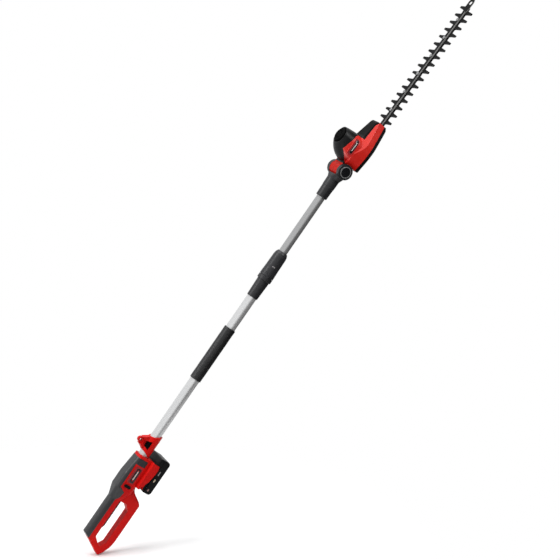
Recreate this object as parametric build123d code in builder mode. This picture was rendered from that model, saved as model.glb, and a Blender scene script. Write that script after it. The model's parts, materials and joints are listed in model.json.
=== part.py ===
from build123d import *
import os
from math import radians, tan

# Pole hedge trimmer, in millimetres. Z runs along the pole from the handle to the blade,
# +X is the battery side, -X is the soft-grip side. The origin is the point where the pole
# axis meets the slanted flat rear face of the handle.

# ---- driving dimensions: pole ----
LOWER_TUBE_R = 14.0
LOWER_TUBE_BORE = 12.8
LOWER_TUBE_LOW = 186.0
LOWER_TUBE_HIGH = 857.0
UPPER_TUBE_R = 12.5
UPPER_TUBE_BORE = 11.4
UPPER_TUBE_LOW = 197.0
UPPER_TUBE_HIGH = 1190.0
RUN_GAP = 0.05

# ---- driving dimensions: handle ----
REAR_SLANT = 29.0
SHELL_WALL = 4.0
COVER_SKIN = 2.0
GRIP_SIZE = (35.0, 32.0, 13.0)
GRIP_X = 1.2
BODY_SIZE = (56.0, 45.0, 11.0)
BODY_X = 4.0
BODY_TOP_SIZE = (49.0, 44.0, 11.0)
BODY_TOP_X = 7.5
GRIP_HIGH = 130.0
BODY_LOW = 163.0
BODY_MID = 205.0
BODY_HIGH = 270.0
BAR_X = 67.6
LOOP_HALF = 12.0
TUBE_SHELF = 183.0

# ---- driving dimensions: battery ----
DOCK_HALF = 35.5
DOCK_FLOOR = 32.0
DOCK_LOW = 188.0
PACK_SPLIT = 49.1
PACK_OUTER = 72.0
PACK_HALF = 36.0
PACK_LOW = 187.0
PACK_HIGH = 293.0
BASE_HALF = 31.7
CELL_R = 9.15
CELL_PITCH = 18.6
CELL_X = 60.0

# ---- driving dimensions: tilt joint ----
HINGE_Z = 1223.0
HEAD_LEAN = 2.06
KNUCKLE_R = 22.0
BARREL_R = 21.5
BARREL_HALF = 21.9
CHEEK_LOW = 22.0
CHEEK_HIGH = 35.0
PIVOT_R = 5.0
BUTTON_R = 17.0
FORK_DEPTH = 18.8

# ---- driving dimensions: head and blade, in the head's own frame at the hinge ----
HEAD_REAR = 20.0
HEAD_FRONT = 167.0
COVER_SEAM_X = 24.0
HEAD_BOTTOM = 35.0
MOTOR_Z = 80.0
MOTOR_R = 18.0
GEAR_MODULE = 0.75
PINION_TEETH = 9
GEAR_TEETH = 54
GEAR_Z = MOTOR_Z + GEAR_MODULE * (PINION_TEETH + GEAR_TEETH) / 2
AXLE_R = 3.0
CAM_R = 8.0
CAM_THROW = 6.2
SPINE_X = 18.1
UPPER_BLADE_X = 21.70
LOWER_BLADE_X = 23.62
BLADE_THICK = 1.88
BLADE_HALF = 9.6
BLADE_END = 573.0
TOOTH_PITCH = 24.9
TOOTH_REACH = 36.6
TOOTH_COUNT = 16
FIRST_FAR_TOOTH = 567.0
FIRST_NEAR_TOOTH = 555.3
BOLT_PITCH = 61.8
FIRST_BOLT = 527.0
BOLT_COUNT = 6
LOOP_HOLE_Z = 585.5
LOOP_HOLE_R = 6.0

HEAD_PLACE = Location((0, 0, HINGE_Z), (0, HEAD_LEAN, 0))
FAR = 2000.0

os.makedirs("parts", exist_ok=True)


def save(piece, name, place=None):
    """Label one finished piece, put it in the tool's frame and write it."""
    if place is not None:
        piece.part.locate(place)
    piece.part.label = name
    export_step(piece.part, f"parts/{name}.step")


# ---- helpers that draw into the part that is open ----
def bar_y(points, radius, low, high, mode=Mode.ADD):
    """Round bars along Y through (x, z) points."""
    with BuildSketch(Plane.XZ.offset(-high)) as profile:
        with Locations(*points):
            Circle(radius)
    extrude(profile.sketch, amount=high - low, mode=mode)


def bar_x(points, radius, low, high, mode=Mode.ADD):
    """Round bars along X through (y, z) points."""
    with BuildSketch(Plane.YZ.offset(low)) as profile:
        with Locations(*points):
            Circle(radius)
    extrude(profile.sketch, amount=high - low, mode=mode)


def bar_z(points, radius, low, high, mode=Mode.ADD):
    """Round bars along Z through (x, y) points."""
    with BuildSketch(Plane.XY.offset(low)) as profile:
        with Locations(*points):
            Circle(radius)
    extrude(profile.sketch, amount=high - low, mode=mode)


def block(x, y, z, mode=Mode.ADD):
    """A square-cornered block between two limits on each axis."""
    with BuildSketch(Plane.XY.offset(z[0])) as profile:
        with Locations(((x[0] + x[1]) / 2, (y[0] + y[1]) / 2)):
            Rectangle(x[1] - x[0], y[1] - y[0])
    extrude(profile.sketch, amount=z[1] - z[0], mode=mode)


def side_prism(points, half, radius=0.0, mode=Mode.ADD):
    """An outline in the XZ plane, as thick on both sides of it."""
    with BuildSketch(Plane.XZ) as profile:
        with BuildLine():
            if radius > 0:
                FilletPolyline(*points, close=True, radius=radius)
            else:
                Polyline(*points, close=True)
        make_face()
    extrude(profile.sketch, amount=half, both=True, mode=mode)


def plan_prism(half_widths, low, high, inset=0.0, mode=Mode.ADD):
    """A symmetric, smoothly curved outline of (z, half width) stations, deep along X."""
    right = [(half - inset, z) for z, half in half_widths]
    left = [(inset - half, z) for z, half in half_widths]
    with BuildSketch(Plane.YZ.offset(low)) as profile:
        with BuildLine():
            Spline(*right)
            Spline(*left)
            Line(right[0], left[0])
            Line(right[-1], left[-1])
        make_face()
    extrude(profile.sketch, amount=high - low, mode=mode)


def ring_z(profile_points, mode=Mode.ADD):
    """A turned shape about the pole axis from (radius, z) points."""
    with BuildSketch(Plane.XZ) as profile:
        with BuildLine():
            Polyline(*profile_points, close=True)
        make_face()
    revolve(profile.sketch, axis=Axis.Z, mode=mode)


def tube_z(outer, inner, low, high, mode=Mode.ADD):
    ring_z([(inner, low), (outer, low), (outer, high), (inner, high)], mode)


# ---- handle: shared volumes ----
def rear_plane(depth):
    """The slanted rear plane, moved into the handle by a depth; it faces the blade."""
    tilt = Plane(origin=(0, 0, 0), x_dir=(0, 1, 0), z_dir=(tan(radians(REAR_SLANT)), 0, 1))
    return tilt.offset(depth)


def section(size, centre, height, inset):
    """One rounded cross-section of the handle, drawn in by an inset."""
    depth, width, corner = size
    with BuildSketch(Plane.XY.offset(height)) as profile:
        with Locations((centre, 0)):
            RectangleRounded(depth - 2 * inset, width - 2 * inset, corner - inset)
    return profile.sketch


def handle_volume(inset):
    """Grip, neck and body as one closed volume, drawn in by an inset all round."""
    top = BODY_HIGH - inset
    grip_low = section(GRIP_SIZE, GRIP_X, -40, inset)
    grip_high = section(GRIP_SIZE, GRIP_X, GRIP_HIGH, inset)
    body_low = section(BODY_SIZE, BODY_X, BODY_LOW, inset)
    body_mid = section(BODY_SIZE, BODY_X, BODY_MID, inset)
    body_top = section(BODY_TOP_SIZE, BODY_TOP_X, top, inset)
    with BuildPart() as volume:
        extrude(grip_low, amount=GRIP_HIGH + 40)
        loft([grip_high, body_low])
        extrude(body_low, amount=BODY_MID - BODY_LOW)
        loft([body_mid, body_top])
        split(bisect_by=rear_plane(inset), keep=Keep.TOP)
    return volume.part


LOOP_OUTLINE = [
    (-14, 5.5), (54, -32), (66, -18), (76, 5), (79.1, 25), (79.1, 144),
    (72, 152), (44, 169), (37, 177), (34, 190), (-18, 190), (-18, 165), (-12, 133),
]
HAND_OPENING = [(17, 14), (44, -9), (56.1, 10), (56.1, 117), (39, 131), (17, 131)]
SOFT_REGION = [
    (-60, -40), (-1, -40), (-1, 128), (7, 140), (7, 158), (-13, 168),
    (-13, 243), (16, 243), (16, 262), (-60, 262),
]
SKIRT_CUT = [(30, 180), (36, 200), (44, 217), (48, 240), (48.8, 258), (45.5, 271), (60, 271), (60, 180)]
LOCK_CENTRE = (4.3, 177.0)
TRIGGER_PIVOT = (12.0, 46.0)
HANDLE_SCREWS = [
    (-8.0, 25.0, 15.2), (-8.0, 90.0, 16.0), (BAR_X, 8.0, 12.0),
    (BAR_X, 136.0, 12.0), (20.9, 197.0, 22.5), (20.9, 258.0, 22.0),
]
SCREW_R = 1.5
SCREW_HEAD_R = 3.0
BOSS_R = 3.6

with BuildPart() as loop_frame:
    side_prism(LOOP_OUTLINE, LOOP_HALF, 6)
    fillet(loop_frame.faces().filter_by(Axis.Y).edges(), 4.5)
    split(bisect_by=rear_plane(0), keep=Keep.TOP)

with BuildPart() as hand_hole:
    side_prism(HAND_OPENING, LOOP_HALF + 1, 6)

with BuildPart() as dock:
    block((24.5, PACK_SPLIT - 0.3), (-DOCK_HALF, DOCK_HALF), (DOCK_LOW, BODY_HIGH))
    fillet(dock.edges().filter_by(Axis.Z).group_by(Axis.X)[0], 3.5)
    block((DOCK_FLOOR, FAR), (-BASE_HALF - 0.3, BASE_HALF + 0.3), (DOCK_LOW + 3, FAR), Mode.SUBTRACT)
    side_prism(SKIRT_CUT, FAR, mode=Mode.SUBTRACT)
    for side in (-1, 1):
        rail = sorted((side * (BASE_HALF + 0.3), side * (BASE_HALF - 3.2)))
        block((38.3, 41.7), rail, (DOCK_LOW + 3, BODY_HIGH - 6))

with BuildPart() as cavity:
    add(handle_volume(SHELL_WALL))
    block((-FAR, FAR), (-FAR, FAR), (TUBE_SHELF - 3, TUBE_SHELF), Mode.SUBTRACT)
    block((-FAR, FAR), (-FAR, FAR), (229, 232), Mode.SUBTRACT)
    block((-FAR, FAR), (-FAR, FAR), (262, FAR), Mode.SUBTRACT)
    with BuildSketch(Plane.XY.offset(2)) as bar_hollow:
        with Locations((BAR_X, 0)):
            RectangleRounded(16, 17, 5)
    extrude(bar_hollow.sketch, amount=136)
    bar_y([(x, z) for x, z, reach in HANDLE_SCREWS], BOSS_R, -40, 40, Mode.SUBTRACT)

with BuildPart() as handle_block:
    add(loop_frame.part)
    add(hand_hole.part, mode=Mode.SUBTRACT)
    add(handle_volume(0))
    add(dock.part)
    add(cavity.part, mode=Mode.SUBTRACT)
    bar_z([(0, 0)], LOWER_TUBE_R, LOWER_TUBE_LOW, FAR, Mode.SUBTRACT)
    bar_z([(0, 0)], 7, TUBE_SHELF - 4, LOWER_TUBE_LOW + 1, Mode.SUBTRACT)
    # floor opening for the terminals, trigger slot, cross hole for the lock-off button
    block((25, 40), (-20.2, 20.2), (DOCK_LOW + 3, 206), Mode.SUBTRACT)
    block((8, 30), (-7.3, 7.3), (35, 136.5), Mode.SUBTRACT)
    with BuildSketch(Plane.XZ) as lock_hole:
        with Locations(LOCK_CENTRE):
            SlotOverall(22.2, 8.7)
    extrude(lock_hole.sketch, amount=FAR, both=True, mode=Mode.SUBTRACT)
    bar_y([TRIGGER_PIVOT], 2, -14, 14, Mode.SUBTRACT)

with BuildPart() as soft_grip_cover:
    add(handle_volume(0))
    add(handle_volume(COVER_SKIN), mode=Mode.SUBTRACT)
    side_prism(SOFT_REGION, FAR, mode=Mode.INTERSECT)
    with BuildSketch(Plane.XZ) as lock_hole:
        with Locations(LOCK_CENTRE):
            SlotOverall(22.2, 8.7)
    extrude(lock_hole.sketch, amount=FAR, both=True, mode=Mode.SUBTRACT)


def screw_row(points, grow=0.0, head_reach=0.0):
    """Self-tapping screws along Y, heads on the +Y side, each a separate solid."""
    with BuildPart() as screws:
        for x, z, reach in points:
            bar_y([(x, z)], SCREW_R, 5 - reach, reach - 3)
            bar_y([(x, z)], SCREW_HEAD_R + grow, reach - 3, reach - 1 + head_reach)
    return screws


def handle_shell(keep, grip_cover, screw_space):
    with BuildPart() as shell:
        add(handle_block.part)
        add(grip_cover.part, mode=Mode.SUBTRACT)
        add(screw_space.part, mode=Mode.SUBTRACT)
        split(bisect_by=Plane.XZ, keep=keep)
    return shell


handle_screw_space = screw_row(HANDLE_SCREWS, 0.1, 12)
handle_screws = screw_row(HANDLE_SCREWS)
handle_shell_left = handle_shell(Keep.TOP, soft_grip_cover, handle_screw_space)
handle_shell_right = handle_shell(Keep.BOTTOM, soft_grip_cover, handle_screw_space)
with BuildPart() as soft_grip_drilled:
    add(soft_grip_cover.part)
    add(handle_screw_space.part, mode=Mode.SUBTRACT)
save(soft_grip_drilled, "soft_grip_cover")
save(handle_shell_left, "handle_shell_left")
save(handle_shell_right, "handle_shell_right")
save(handle_screws, "handle_screws")

# ---- handle: trigger, lock-off, switch, electronics ----
with BuildPart() as trigger:
    side_prism(
        [(9, 39), (21, 40.5), (24.2, 50), (24.2, 129), (20.5, 134), (7, 134), (7, 50)], 7, 1.5
    )
    fillet(trigger.edges().filter_by(Axis.Z).group_by(Axis.X)[-1], 2.5)
    bar_y([TRIGGER_PIVOT], 2 + RUN_GAP, -10, 10, Mode.SUBTRACT)
save(trigger, "trigger")

with BuildPart() as trigger_pin:
    bar_y([TRIGGER_PIVOT], 2, -11, 11)
save(trigger_pin, "trigger_pin")

with BuildPart() as trigger_switch:
    block((-10, 0), (-7, 7), (98, 122))
    chamfer(trigger_switch.edges().filter_by(Axis.Y), 1)
    bar_x([(0, 114)], 1.5, 0, 1.4)
save(trigger_switch, "trigger_switch")


def coil_spring(radius, wire, pitch, turns):
    """A round-wire helix standing on its own local Z."""
    height = pitch * turns
    with BuildPart() as spring:
        with BuildLine() as path:
            Helix(pitch=pitch, height=height, radius=radius)
        with BuildSketch(Plane(origin=path.line @ 0, z_dir=path.line % 0)) as wire_face:
            Circle(wire)
        sweep(wire_face.sketch, path=path.line)
    return spring


trigger_spring = coil_spring(3.0, 0.4, 1.6, 4)
trigger_spring.part.locate(Location((-6, 0, 65), (0, 90, 0)))
save(trigger_spring, "trigger_spring")

with BuildPart() as lock_off_button:
    with BuildSketch(Plane.XZ) as lock_face:
        with Locations(LOCK_CENTRE):
            SlotOverall(22, 8.5)
    extrude(lock_face.sketch, amount=25.3)
    extrude(lock_face.sketch, amount=-19.0)
    fillet(lock_off_button.faces().sort_by(Axis.Y)[0].edges(), 1)
save(lock_off_button, "lock_off_button")

with BuildPart() as control_board:
    block((16, 17.6), (-12, 12), (204, 226))
    block((17.6, 21), (-6, 6), (208, 222))
save(control_board, "control_board")

with BuildPart() as terminal_block:
    block((25.2, 30), (-20, 20), (DOCK_LOW + 3.2, 205.8))
    block((30, 37.5), (-17, 17), (DOCK_LOW + 3.2, 202))
    for y in (-11, 0, 11):
        block((31, 37.6), (y - 1.2, y + 1.2), (196, 203), Mode.SUBTRACT)
save(terminal_block, "terminal_block")

# ---- battery ----
with BuildPart() as battery_cover:
    block((PACK_SPLIT, PACK_OUTER), (-PACK_HALF, PACK_HALF), (PACK_LOW, PACK_HIGH))
    fillet(battery_cover.edges().filter_by(Axis.Y).group_by(Axis.X)[-1], 9)
    fillet(battery_cover.faces().filter_by(Axis.Y).edges().filter_by(Axis.X, reverse=True), 4)
    block((PACK_SPLIT - 1, CELL_X + CELL_R + 0.3), (-33, 33), (PACK_LOW + 4, PACK_HIGH - 4), Mode.SUBTRACT)
save(battery_cover, "battery_cover")

with BuildPart() as battery_base:
    block((DOCK_FLOOR + 0.3, PACK_SPLIT), (-BASE_HALF, BASE_HALF), (DOCK_LOW + 3.5, BODY_HIGH + 1))
    block((37.5, PACK_SPLIT), (-PACK_HALF, PACK_HALF), (BODY_HIGH + 1, PACK_HIGH))
    chamfer(battery_base.faces().sort_by(Axis.Z)[-1].edges().group_by(Axis.X)[0], 3)
    for side in (-1, 1):
        groove = sorted((side * FAR, side * (BASE_HALF - 3.7)))
        block((37.9, 42.1), groove, (DOCK_LOW, BODY_HIGH - 4), Mode.SUBTRACT)
    block((44, PACK_SPLIT + 1), (-27.5, 27.5), (196, 274), Mode.SUBTRACT)
    block((20, 40), (-20.6, 20.6), (DOCK_LOW, 206.6), Mode.SUBTRACT)
    block((40.9, 46.9), (-9.1, 9.1), (279, FAR), Mode.SUBTRACT)
save(battery_base, "battery_base")

with BuildPart() as battery_button:
    block((41, 46.8), (-9, 9), (283, PACK_HIGH - 0.3))
    fillet(battery_button.faces().sort_by(Axis.Z)[-1].edges(), 0.8)
save(battery_button, "battery_button")

PACK_MID = (PACK_LOW + PACK_HIGH) / 2
with BuildPart() as battery_cells:
    bar_y([(CELL_X, PACK_MID + CELL_PITCH * step) for step in range(-2, 3)], CELL_R, -32.5, 32.5)
save(battery_cells, "battery_cells")

with BuildPart() as battery_board:
    block((46, 47.6), (-24, 24), (202, 268))
    block((44.4, 46), (-8, 8), (220, 240))
save(battery_board, "battery_board")

# ---- lower pole ----
with BuildPart() as lower_tube:
    tube_z(LOWER_TUBE_R, LOWER_TUBE_BORE, LOWER_TUBE_LOW, LOWER_TUBE_HIGH)
save(lower_tube, "lower_tube")

STRAP_EYE = (-35.0, 305.0)
EAR_HALF = 5.0
LINER_R = 16.2
LINER_Z = (288.0, 317.5)
with BuildPart() as strap_bracket:
    bar_z([(0, 0)], 18, 268, 345)
    block((-18, 0), (-7, 7), (268, 345))
    side_prism(
        [(19, 270.8), (-16, 284), (-37, 295), (-42.5, 304.5), (-37, 314), (-16, 326), (19, 341)],
        30, mode=Mode.INTERSECT,
    )
    side_prism([(-12, 283), (-35, 294.5), (-35, 314.5), (-12, 327.5)], 8)
    bar_y([STRAP_EYE], 8, -EAR_HALF, EAR_HALF)
    for side in (-1, 1):
        pocket = sorted((side * 3, side * 20))
        with BuildSketch(Plane.XZ.offset(-pocket[1])) as recess:
            with BuildLine():
                Polyline((-5, 289.5), (-25, 299), (-25, 308), (-5, 316), close=True)
            make_face()
        extrude(recess.sketch, amount=pocket[1] - pocket[0], mode=Mode.SUBTRACT)
    bar_y([STRAP_EYE], 9.5, EAR_HALF, 30, Mode.SUBTRACT)
    bar_y([STRAP_EYE], 9.5, -30, -EAR_HALF, Mode.SUBTRACT)
    bar_y([STRAP_EYE], 3.75, -FAR, FAR, Mode.SUBTRACT)
    bar_z([(0, 0)], LOWER_TUBE_R, 200, 400, Mode.SUBTRACT)
    bar_z([(0, 0)], LINER_R + 0.05, *LINER_Z, Mode.SUBTRACT)
    bar_x([(0, 322)], 1.6, 0, FAR, Mode.SUBTRACT)
save(strap_bracket, "strap_bracket")

with BuildPart() as strap_liner:
    tube_z(LINER_R, LOWER_TUBE_R + 0.05, *LINER_Z)
save(strap_liner, "strap_liner")

with BuildPart() as strap_screw:
    bar_x([(0, 322)], 1.6, 14.05, 18.2)
    bar_x([(0, 322)], 3.2, 18.2, 20.2)
    chamfer(strap_screw.faces().sort_by(Axis.X)[-1].edges(), 0.6)
save(strap_screw, "strap_screw")

with BuildPart() as foam_grip:
    tube_z(16.8, LOWER_TUBE_R + 0.05, 523, 693)
    fillet(foam_grip.edges().filter_by(GeomType.CIRCLE).group_by(SortBy.RADIUS)[-1], 1.5)
save(foam_grip, "foam_grip")

# ---- telescopic clamp ----
with BuildPart() as clamp_body:
    ring_z([
        (LOWER_TUBE_R, 798), (15.6, 798), (16.2, 799.5), (18, 853), (21, 854.5), (21, 866),
        (17, 866), (17, 885), (15.55, 885), (15.55, LOWER_TUBE_HIGH), (LOWER_TUBE_R, LOWER_TUBE_HIGH),
    ])
save(clamp_body, "clamp_body")

with BuildPart() as clamp_collet:
    ring_z([
        (UPPER_TUBE_R + RUN_GAP, 857.1), (15.5, 857.1), (15.5, 888), (14.2, 922),
        (UPPER_TUBE_R + RUN_GAP, 922),
    ])
    for turn in range(4):
        with BuildSketch(Plane.XY.offset(885)) as slit:
            with PolarLocations(14, 1, start_angle=90 * turn):
                Rectangle(8, 1.4)
        extrude(slit.sketch, amount=40, mode=Mode.SUBTRACT)
save(clamp_collet, "clamp_collet")

with BuildPart() as lock_sleeve:
    ring_z([
        (17 + RUN_GAP, 866.4), (20.6, 866.4), (21, 868), (20, 897), (20, 901), (19.4, 932),
        (18.2, 940), (14.6, 947), (12.7, 947), (12.7, 938), (15.0, 930), (15.7, 888), (17 + RUN_GAP, 886),
    ])
    with BuildSketch(Plane.XY.offset(872)) as flutes:
        with PolarLocations(21.4, 18):
            Circle(1.3)
    extrude(flutes.sketch, amount=22, mode=Mode.SUBTRACT)
save(lock_sleeve, "lock_sleeve")

# ---- upper pole ----
with BuildPart() as upper_tube:
    tube_z(UPPER_TUBE_R, UPPER_TUBE_BORE, UPPER_TUBE_LOW, UPPER_TUBE_HIGH)
save(upper_tube, "upper_tube")

with BuildPart() as guide_bush:
    tube_z(LOWER_TUBE_BORE - RUN_GAP, UPPER_TUBE_R, UPPER_TUBE_LOW, UPPER_TUBE_LOW + 40)
save(guide_bush, "guide_bush")

with BuildPart() as coiled_cable:
    tube_z(8.5, 4.5, 190, 1180)
save(coiled_cable, "coiled_cable")

with BuildPart() as socket_fork:
    loft([section((36, 36, 17.9), 0, 1190, 0), section((34, 58, 12), 0, 1206, 0)])
    block((-17, 17), (-29, 29), (1206, HINGE_Z))
    bar_y([(0, HINGE_Z)], KNUCKLE_R, -CHEEK_HIGH, CHEEK_HIGH)
    block((-FAR, FAR), (-CHEEK_LOW, CHEEK_LOW), (HINGE_Z - FORK_DEPTH, FAR), Mode.SUBTRACT)
    bar_y([(0, HINGE_Z)], BARREL_R + 0.3, -CHEEK_LOW, CHEEK_LOW, Mode.SUBTRACT)
    block((-FAR, -17.5), (-CHEEK_LOW, CHEEK_LOW), (HINGE_Z - 30, FAR), Mode.SUBTRACT)
    block((17.5, FAR), (-CHEEK_LOW, CHEEK_LOW), (HINGE_Z - 30, FAR), Mode.SUBTRACT)
with BuildPart() as tilt_socket:
    ring_z([(0, 1132), (15.8, 1132), (16.6, 1133.5), (17.4, 1165), (18, 1166), (18.6, 1196), (0, 1196)])
    add(socket_fork.part)
    bar_z([(0, 0)], UPPER_TUBE_R, 1100, UPPER_TUBE_HIGH, Mode.SUBTRACT)
    bar_z([(0, 0)], 7, UPPER_TUBE_HIGH - 1, HINGE_Z, Mode.SUBTRACT)
    bar_y([(0, HINGE_Z)], BUTTON_R + RUN_GAP, -FAR, -26.2, Mode.SUBTRACT)
    bar_y([(0, HINGE_Z)], 13, -27, -CHEEK_LOW + 1, Mode.SUBTRACT)
    bar_y([(0, HINGE_Z)], PIVOT_R, 0, FAR, Mode.SUBTRACT)
    bar_y([(0, HINGE_Z)], 9.1, 31, FAR, Mode.SUBTRACT)
    bar_y([(0, 1152)], 1.6, 0, FAR, Mode.SUBTRACT)
save(tilt_socket, "tilt_socket")

with BuildPart() as socket_screw:
    bar_y([(0, 1152)], 1.6, 12.55, 17.2)
    bar_y([(0, 1152)], 3, 17.2, 19)
save(socket_screw, "socket_screw")

with BuildPart() as pivot_bolt:
    bar_y([(0, HINGE_Z)], PIVOT_R, -26, 31)
    bar_y([(0, HINGE_Z)], 9, 31, 36)
    chamfer(pivot_bolt.faces().sort_by(Axis.Y)[-1].edges(), 1)
save(pivot_bolt, "pivot_bolt")

with BuildPart() as tilt_button:
    bar_y([(0, HINGE_Z)], BUTTON_R, -37, -31.6)
    fillet(tilt_button.faces().sort_by(Axis.Y)[0].edges(), 1.5)
    bar_y([(0, HINGE_Z)], 9, -31.6, -26.9)
    bar_y([(0, HINGE_Z)], 6, -31.6, -20, Mode.SUBTRACT)
save(tilt_button, "tilt_button")

with BuildPart() as tilt_lock_disc:
    with BuildSketch(Plane.XZ.offset(20.5)) as disc:
        with Locations((0, HINGE_Z)):
            Circle(11.5)
            with PolarLocations(11.5, 24):
                Rectangle(2.4, 1.4)
    extrude(disc.sketch, amount=6.4)
    bar_y([(0, HINGE_Z)], PIVOT_R + RUN_GAP, -40, 0, Mode.SUBTRACT)
save(tilt_lock_disc, "tilt_lock_disc")

# ---- head: shared volumes, in the head's own frame at the hinge ----
HEAD_PLAN = [
    (HEAD_REAR, 29), (50, 33.5), (75, 36), (95, 35), (110, 32), (152, 22), (HEAD_FRONT, 18),
]
HEAD_SIDE = [
    (HEAD_BOTTOM, HEAD_REAR), (HEAD_BOTTOM, 158), (30, HEAD_FRONT), (1, HEAD_FRONT),
    (-4, 161), (-14, 104), (-14, HEAD_REAR),
]
DOME = [
    (0, 65, 66, 86, 32.5), (-35, 65, 62, 81, 30.5), (-54, 70, 53, 66, 26), (-64, 75, 46, 52, 22.5),
]
TOP_SEAM = [
    (-12, 17), (-16, 24), (-47, 48), (-41, 75), (-34, 96), (-26, 103), (-8, 104),
    (-2, 154), (4, 166), (4, 180), (-90, 180), (-90, 17),
]
ARM = [(-17, 0), (17, 0), (17, 30), (-17, 30)]
CAP_Z = 75.0
EXIT_HALF = 10.6
TOOTH_EXIT_HALF = 14.0
TOOTH_EXIT_Z = 164.5
BLADE_SLOT_X = (SPINE_X - 0.1, LOWER_BLADE_X + BLADE_THICK + 0.1)


def dome_volume(inset):
    """The rounded motor housing that stands out along -X."""
    faces = []
    for x, z, wide, tall, corner in DOME:
        with BuildSketch(Plane.YZ.offset(x)) as profile:
            with Locations((0, z)):
                RectangleRounded(wide - 2 * inset, tall - 2 * inset, corner - inset)
        faces.append(profile.sketch)
    with BuildPart() as dome:
        loft(faces)
    return dome.part


def bevel_plane(side):
    """The plane of the slanted upper flank on one side."""
    return Plane(origin=(2, 36 * side, 82), z_dir=(-595, 1105 * side, 238))


with BuildPart() as head_hull:
    side_prism(HEAD_SIDE, 60)
    plan_prism(HEAD_PLAN, -60, 60, mode=Mode.INTERSECT)
    for side in (-1, 1):
        split(bisect_by=bevel_plane(side), keep=Keep.BOTTOM)
    fillet(head_hull.edges(), 2)
    add(dome_volume(0))
    block((-FAR, FAR), (-FAR, FAR), (-FAR, HEAD_REAR), Mode.SUBTRACT)
    for side in (-1, 1):
        gap = sorted((side * BARREL_HALF, side * FAR))
        bar_y([(0, 0)], KNUCKLE_R + 0.3, gap[0], gap[1], Mode.SUBTRACT)
    side_prism(ARM, BARREL_HALF)
    bar_y([(0, 0)], BARREL_R, -BARREL_HALF, BARREL_HALF)

MOTOR_SCREW_POSTS = [(-24.0, 40.0), (24.0, 40.0), (-17.0, 142.0), (17.0, 142.0)]
POST_R = 3.6
with BuildPart() as head_hollow:
    plan_prism([(24, 29.5), (50, 33.5), (75, 36), (95, 35), (110, 32), (152, 22), (161, 19.6)],
               4, 31.5, 3)
    block((-8, 4), (-14, 14), (24, 135))
    block((-12, 4), (-19, 19), (40, 108))
    add(dome_volume(3))
    block((-2, 31.5), (-15, 15), (24, 40))
    bar_x(MOTOR_SCREW_POSTS, POST_R, 4, 60, Mode.SUBTRACT)
    bar_y([(0, 0)], KNUCKLE_R + 2.5, -FAR, FAR, Mode.SUBTRACT)

with BuildPart() as head_openings:
    block(BLADE_SLOT_X, (-EXIT_HALF, EXIT_HALF), (150, 180))
    block(BLADE_SLOT_X, (-TOOTH_EXIT_HALF, TOOTH_EXIT_HALF), (TOOTH_EXIT_Z, 180))
    bar_y([(0, 0)], PIVOT_R + RUN_GAP, -FAR, FAR)
    bar_y([(0, 0)], 13.2, -FAR, -15)
    bar_z([(0, 0)], 4, 6, 30)
    bar_x(MOTOR_SCREW_POSTS, SCREW_R, 7, 33)
    bar_x(MOTOR_SCREW_POSTS, SCREW_HEAD_R + 0.1, 33, 60)

with BuildPart() as head_body:
    add(head_hull.part)
    add(head_hollow.part, mode=Mode.SUBTRACT)
    add(head_openings.part, mode=Mode.SUBTRACT)

with BuildPart() as top_region:
    side_prism(TOP_SEAM, FAR)


def head_shell(keep):
    with BuildPart() as shell:
        add(head_body.part)
        add(top_region.part, mode=Mode.SUBTRACT)
        block((COVER_SEAM_X, FAR), (-FAR, FAR), (-FAR, FAR), Mode.SUBTRACT)
        split(bisect_by=Plane.XZ, keep=keep)
    return shell


save(head_shell(Keep.TOP), "head_shell_left", HEAD_PLACE)
save(head_shell(Keep.BOTTOM), "head_shell_right", HEAD_PLACE)

with BuildPart() as motor_cover:
    add(head_body.part)
    add(top_region.part, mode=Mode.INTERSECT)
    bar_x([(0, CAP_Z)], 21.2, -72, -53, Mode.SUBTRACT)
save(motor_cover, "motor_cover", HEAD_PLACE)

with BuildPart() as motor_cap:
    bar_x([(0, CAP_Z)], 21, -68.5, -61)
    fillet(motor_cap.faces().sort_by(Axis.X)[0].edges(), 4)
    bar_x([(0, CAP_Z)], 19.2, -66.5, -60, Mode.SUBTRACT)
    with BuildSketch(Plane.YZ.offset(-70)) as vents:
        with Locations((0, CAP_Z)):
            with PolarLocations(11, 16):
                Rectangle(6, 1.6)
    extrude(vents.sketch, amount=7, mode=Mode.SUBTRACT)
save(motor_cap, "motor_cap", HEAD_PLACE)

with BuildPart() as bottom_cover:
    add(head_body.part)
    block((COVER_SEAM_X, FAR), (-FAR, FAR), (-FAR, FAR), Mode.INTERSECT)
save(bottom_cover, "bottom_cover", HEAD_PLACE)

with BuildPart() as head_screws:
    bar_x(MOTOR_SCREW_POSTS, SCREW_R, 7, 33)
    bar_x(MOTOR_SCREW_POSTS, SCREW_HEAD_R, 33, 34.5)
save(head_screws, "head_screws", HEAD_PLACE)

# ---- head: motor and drive ----
with BuildPart() as gearbox_plate:
    with BuildSketch(Plane.YZ.offset(-4)) as plate:
        with Locations((0, 92)):
            RectangleRounded(27, 68, 6)
    extrude(plate.sketch, amount=4)
    bar_x([(0, MOTOR_Z)], 2.5, -10, 10, Mode.SUBTRACT)
    bar_x([(0, GEAR_Z)], AXLE_R, -10, 10, Mode.SUBTRACT)
save(gearbox_plate, "gearbox_plate", HEAD_PLACE)

with BuildPart() as motor_can:
    bar_x([(0, MOTOR_Z)], MOTOR_R, -55, -4.02)
    bar_x([(0, MOTOR_Z)], MOTOR_R - 1.5, -53, -6, Mode.SUBTRACT)
    bar_x([(0, MOTOR_Z)], 1.6 + RUN_GAP, -70, 0, Mode.SUBTRACT)
save(motor_can, "motor_can", HEAD_PLACE)

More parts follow.
